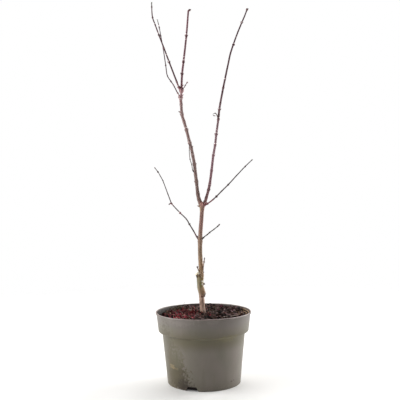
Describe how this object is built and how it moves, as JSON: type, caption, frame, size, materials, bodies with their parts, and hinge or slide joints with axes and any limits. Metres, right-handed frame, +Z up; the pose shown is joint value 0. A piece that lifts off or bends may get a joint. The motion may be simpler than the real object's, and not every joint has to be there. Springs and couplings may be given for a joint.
{
  "type": "potted japanese maple",
  "caption": "Young grafted japanese maple, bare in winter, with a forked stem, upright shoots and thin side twigs, standing in a round nursery pot filled with bark compost.",
  "frame": {"origin": "middle of the pot's flat underside", "axes": "+X to the plant's right as seen from the front, +Y to the back, +Z up"},
  "size_m": [0.1973, 0.19, 0.7511],
  "materials": {
    "pot_plastic": "satin taupe grey moulded plastic, faintly stained by water and compost",
    "compost": "damp dark bark compost with dried red leaf bits",
    "bark": "smooth grey-brown young bark",
    "red_bark": "smooth purple-brown young bark with pale rings at the nodes",
    "shoot": "smooth red-brown one-year wood",
    "twig": "thin grey-brown twigs"
  },
  "bodies": {
    "root": {"pot": "pot_plastic", "soil": "compost", "trunk": "bark", "left_bough": "bark", "right_bough": "red_bark", "upright_shoot": "shoot", "long_shoot": "shoot", "crossing_shoot": "shoot", "whorl_twig": "twig", "bough_twig": "twig", "right_branch": "twig", "left_branch": "twig", "right_twig": "twig", "graft_twig_left": "twig", "graft_twig_right": "twig", "curled_stalk": "twig"}
  },
  "joints": []
}
